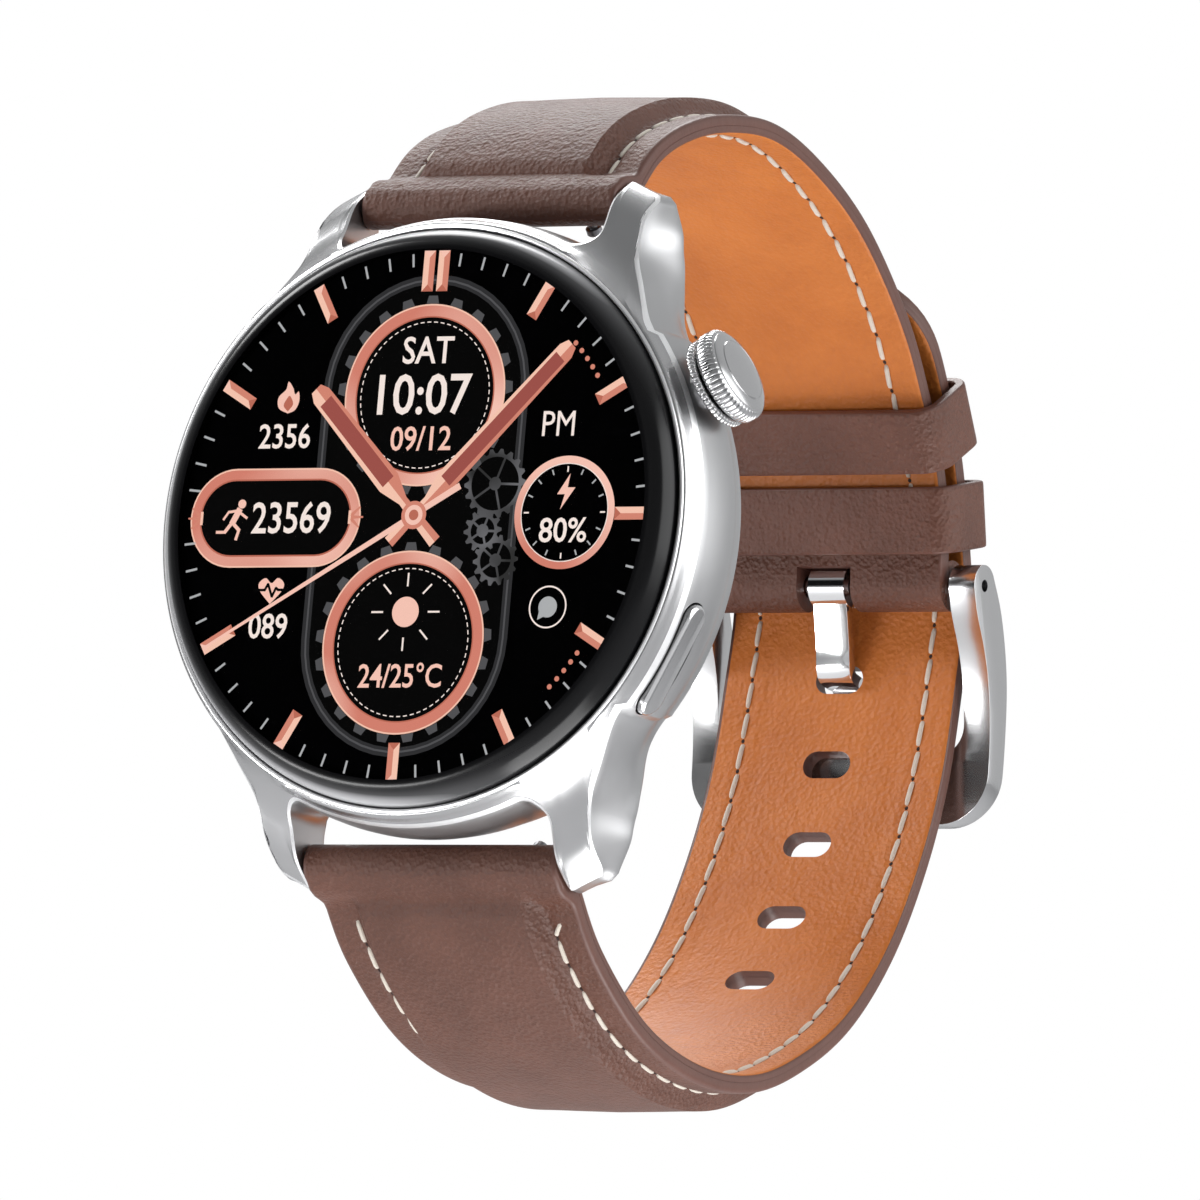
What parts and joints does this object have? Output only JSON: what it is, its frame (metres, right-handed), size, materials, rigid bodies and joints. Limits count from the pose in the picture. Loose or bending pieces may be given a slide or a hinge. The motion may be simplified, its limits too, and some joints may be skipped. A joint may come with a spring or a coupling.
{
  "type": "smartwatch",
  "caption": "Round smartwatch with a steel case, domed glass, knurled crown, side button and a padded leather strap closed by a tang buckle.",
  "frame": {"origin": "middle of the flat face of the sensor window, where the watch lies on the wrist", "axes": "+Y points from the case into the wrist (the dial faces -Y), +Z points to 12 o'clock, +X points to the crown side (3 o'clock)"},
  "size_m": [0.0481, 0.069, 0.0755],
  "materials": {
    "satin_steel": "satin brushed with polished edges",
    "polished_steel": "polished",
    "dark_steel": "satin",
    "clear_glass": "polished, with a black printed edge",
    "black_glass": "gloss",
    "black_plastic": "matt",
    "black_rubber": "matt",
    "circuit_board": "solder mask",
    "gold_contact": "plated",
    "brown_leather": "fine grain, semi-matt, with painted edges",
    "tan_leather": "smooth, semi-matt"
  },
  "bodies": {
    "case": {"mid_case": "satin_steel", "back_cover": "satin_steel", "bezel_ring": "polished_steel", "crown_tube": "polished_steel", "upper_spring_bar": "polished_steel", "lower_spring_bar": "polished_steel", "buckle_bar": "polished_steel", "battery": "dark_steel", "vibration_motor": "dark_steel", "back_screw_1": "dark_steel", "back_screw_2": "dark_steel", "back_screw_3": "dark_steel", "back_screw_4": "dark_steel", "cover_glass": "clear_glass", "display_panel": "black_glass", "sensor_window": "black_glass", "chassis": "black_plastic", "speaker": "black_plastic", "crown_sensor": "black_plastic", "button_switch": "black_plastic", "glass_gasket": "black_rubber", "back_gasket": "black_rubber", "crown_gasket": "black_rubber", "button_gasket": "black_rubber", "main_board": "circuit_board", "sensor_board": "circuit_board", "charging_contact_1": "gold_contact", "charging_contact_2": "gold_contact", "upper_strap_outer": "brown_leather", "lower_strap_outer": "brown_leather", "fixed_keeper": "brown_leather", "upper_strap_lining": "tan_leather", "lower_strap_lining": "tan_leather"},
    "crown_stem": {"crown_stem": "polished_steel"},
    "crown": {"crown_collar": "polished_steel", "crown_knob": "polished_steel", "crown_cap": "polished_steel"},
    "button": {"button_cap": "satin_steel"},
    "upper_release": {"upper_release_pin": "dark_steel"},
    "lower_release": {"lower_release_pin": "dark_steel"},
    "buckle": {"buckle_frame": "polished_steel"},
    "tongue": {"buckle_tongue": "polished_steel"},
    "keeper": {"free_keeper": "brown_leather"}
  },
  "joints": [
    {"name": "crown_press", "type": "slide", "parent": "case", "child": "crown_stem", "axis": [-0.8988, 0, -0.4384], "range_m": [0, 0.00035], "stiffness_N_per_m": 6000, "springref_m": -0.0002},
    {"name": "crown_turn", "type": "hinge", "parent": "crown_stem", "child": "crown", "pos_m": [0, -0.006, 0], "axis": [0.8988, 0, 0.4384], "continuous": true},
    {"name": "button_press", "type": "slide", "parent": "case", "child": "button", "axis": [-0.8949, 0, 0.4462], "range_m": [0, 0.00035], "stiffness_N_per_m": 6000, "springref_m": -0.0002},
    {"name": "upper_release_slide", "type": "slide", "parent": "case", "child": "upper_release", "axis": [-1, 0, 0], "range_m": [0, 0.0011], "stiffness_N_per_m": 1500, "springref_m": -0.0005},
    {"name": "lower_release_slide", "type": "slide", "parent": "case", "child": "lower_release", "axis": [-1, 0, 0], "range_m": [0, 0.0011], "stiffness_N_per_m": 1500, "springref_m": -0.0005},
    {"name": "buckle_swing", "type": "hinge", "parent": "case", "child": "buckle", "pos_m": [0, 0.05174, 0.0062], "axis": [1, 0, 0], "range_deg": [0, 3]},
    {"name": "tongue_swing", "type": "hinge", "parent": "case", "child": "tongue", "pos_m": [0, 0.05174, 0.0062], "axis": [1, 0, 0], "range_deg": [0, 3]},
    {"name": "keeper_slide", "type": "hinge", "parent": "case", "child": "keeper", "pos_m": [0, 0.009, -0.009], "axis": [1, 0, 0], "range_deg": [-1, 10]}
  ],
  "couplings": [
    {"joint": "tongue_swing", "follows": "buckle_swing", "ratio": 1}
  ]
}
